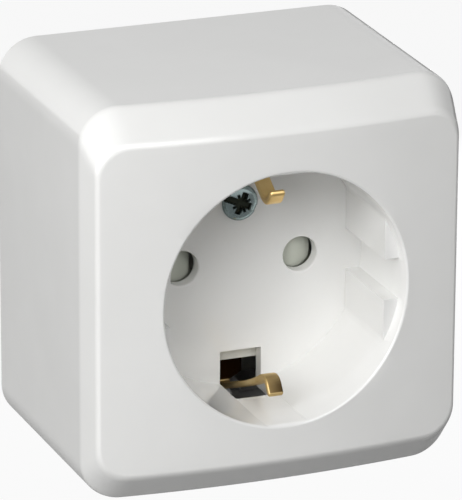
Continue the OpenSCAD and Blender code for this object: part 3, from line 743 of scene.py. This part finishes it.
# The wire's middle line is a helix whose pitch is small in the end turns, and a circle is carried along it
def makeSpring():
    s = spring
    t = np.linspace(0, 1, s["turns"] * 36 + 1)
    turn = t * s["turns"]
    rise = np.clip((turn - s["flatTurns"]) / (s["turns"] - 2 * s["flatTurns"]), 0, 1)
    closed = s["wire"] * (np.minimum(turn, s["flatTurns"]) + np.maximum(turn - s["turns"] + s["flatTurns"], 0))
    free = s["end"] - s["start"] - s["wire"] * (1 + 2 * s["flatTurns"])
    along = s["start"] + s["wire"] / 2 + closed + free * rise
    angle = turn * 2 * np.pi
    line = np.stack([along, s["coilRadius"] * np.cos(angle), s["z"] + s["coilRadius"] * np.sin(angle)], 1)
    outward = np.stack([0 * angle, np.cos(angle), np.sin(angle)], 1)
    tangent = np.gradient(line, axis=0)
    tangent /= np.linalg.norm(tangent, axis=1)[:, None]
    side = np.cross(tangent, outward)
    around = np.linspace(0, 2 * np.pi, 12, endpoint=False)[:, None]
    grid = line[:, None] + s["wire"] / 2 * (np.cos(around) * outward[:, None] + np.sin(around) * side[:, None])
    grid = np.concatenate([np.repeat(line[:1, None], 12, 1), grid, np.repeat(line[-1:, None], 12, 1)])
    piece = meshFromGrids("shutter_spring_dressed", [toFrame(grid)], "springSteel")
    shadeSmooth(piece, 60)
    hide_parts("shutter_spring")
    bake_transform(piece)
    return piece


makeCoverScrew()
makeEarthStrap()
makeShutter()
makeSpring()
print("stage: screw, strap, shutter and spring")

# What the frame's own nodes are finished in
nodeFinish = {
    "wall_plate": "mouldedGrey", "contact_carrier": "darkPlasticAndShade", "contact_cover": "mouldedPale",
    "line_contact": "stampedBrass", "neutral_contact": "stampedBrass",
    "line_grip_spring": "springSteel", "neutral_grip_spring": "springSteel",
    "line_clamps": "zincPlate", "neutral_clamps": "zincPlate", "earth_clamp": "zincPlate",
    "line_terminal_screws": "zincPlate", "neutral_terminal_screws": "zincPlate",
    "earth_terminal_screw": "agedBrass", "cover_nut": "zincPlate", "mechanism_screws": "zincPlate",
}
for name, finish in nodeFinish.items():
    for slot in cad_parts[name].material_slots:
        slot.material = finishes[finish]
print("stage: node finishes")

# Room and light

studio = {
    "floorDrop": 0.16, "floorSize": 6.0, "floorColour": (0.3, 0.3, 0.3, 1),
    "ambient": 0.1, "floorWhite": 0.93, "floorMirrored": 0.12,
    # name: place, aim, width, height, watts
    "lamps": {
        "key": ((-0.40, -0.40, 0.30), (0, -0.03, 0), 0.4, 0.4, 2.62),
        "upper": ((0, -0.57, 0.43), (0, -0.03, 0), 0.35, 0.35, 1.25),
        "side": ((-0.58, -0.13, 0.15), (0, -0.03, 0), 0.4, 0.4, 0.95),
        "rear": ((0.33, 0.55, -0.09), (0, 0, 0), 0.5, 0.14, 4.2),
    },
}


# How far a surface shows as plain white: one share for camera rays, one for reflected and refracted rays
def whiteShare(nodes, links, seen, mirrored):
    path = nodes.new("ShaderNodeLightPath")

    def join(operation, first, second):
        node = nodes.new("ShaderNodeMath")
        node.operation = operation
        links.new(first, node.inputs[0])
        if isinstance(second, float):
            node.inputs[1].default_value = second
        else:
            links.new(second, node.inputs[1])
        return node.outputs["Value"]

    thrown = join("MAXIMUM", path.outputs["Is Glossy Ray"], path.outputs["Is Transmission Ray"])
    return join("MAXIMUM", join("MULTIPLY", path.outputs["Is Camera Ray"], seen), join("MULTIPLY", thrown, mirrored))


def makeWorld():
    world = bpy.data.worlds.new("studio")
    bpy.context.scene.world = world
    world.use_nodes = True
    nodes, links = world.node_tree.nodes, world.node_tree.links
    light = nodes["Background"]
    light.inputs["Color"].default_value = (1, 1, 1, 1)
    light.inputs["Strength"].default_value = studio["ambient"]
    plain = nodes.new("ShaderNodeBackground")
    plain.inputs["Color"].default_value = (1, 1, 1, 1)
    plain.inputs["Strength"].default_value = 1.0
    mix = nodes.new("ShaderNodeMixShader")
    links.new(whiteShare(nodes, links, 1.0, 1.0), mix.inputs["Fac"])
    links.new(light.outputs["Background"], mix.inputs[1])
    links.new(plain.outputs["Background"], mix.inputs[2])
    links.new(mix.outputs["Shader"], nodes["World Output"].inputs["Surface"])


def makeFloor():
    material, nodes, links, shader, _ = startMaterial("studioFloor")
    shader.inputs["Base Color"].default_value = studio["floorColour"]
    shader.inputs["Roughness"].default_value = 0.9
    glow = nodes.new("ShaderNodeEmission")
    glow.inputs["Color"].default_value = (1, 1, 1, 1)
    glow.inputs["Strength"].default_value = 1.0
    mix = nodes.new("ShaderNodeMixShader")
    links.new(whiteShare(nodes, links, studio["floorWhite"], studio["floorMirrored"]), mix.inputs["Fac"])
    links.new(shader.outputs["BSDF"], mix.inputs[1])
    links.new(glow.outputs["Emission"], mix.inputs[2])
    links.new(mix.outputs["Shader"], nodes["Material Output"].inputs["Surface"])
    half = studio["floorSize"] / 2
    level = -cover["height"] / 2 * mm - studio["floorDrop"]
    mesh = bpy.data.meshes.new("floor")
    mesh.from_pydata([(-half, -half, level), (half, -half, level), (half, half, level), (-half, half, level)],
                     [], [(0, 1, 2, 3)])
    floor = bpy.data.objects.new("floor", mesh)
    mesh.materials.append(material)
    bpy.context.scene.collection.objects.link(floor)


def makeLamps():
    for name, (place, aim, width, height, watts) in studio["lamps"].items():  # the rear one lights the back only
        lamp = bpy.data.lights.new(name, "AREA")
        lamp.shape = "RECTANGLE"
        lamp.size, lamp.size_y, lamp.energy = width, height, watts
        holder = bpy.data.objects.new(name, lamp)
        bpy.context.scene.collection.objects.link(holder)
        holder.location = place
        holder.visible_glossy = name != "rear"
        holder.rotation_euler = (Vector(aim) - Vector(place)).to_track_quat("-Z", "Y").to_euler()


makeWorld()
makeFloor()
makeLamps()
bpy.context.scene.view_settings.view_transform = "Standard"
print("stage: room and light")
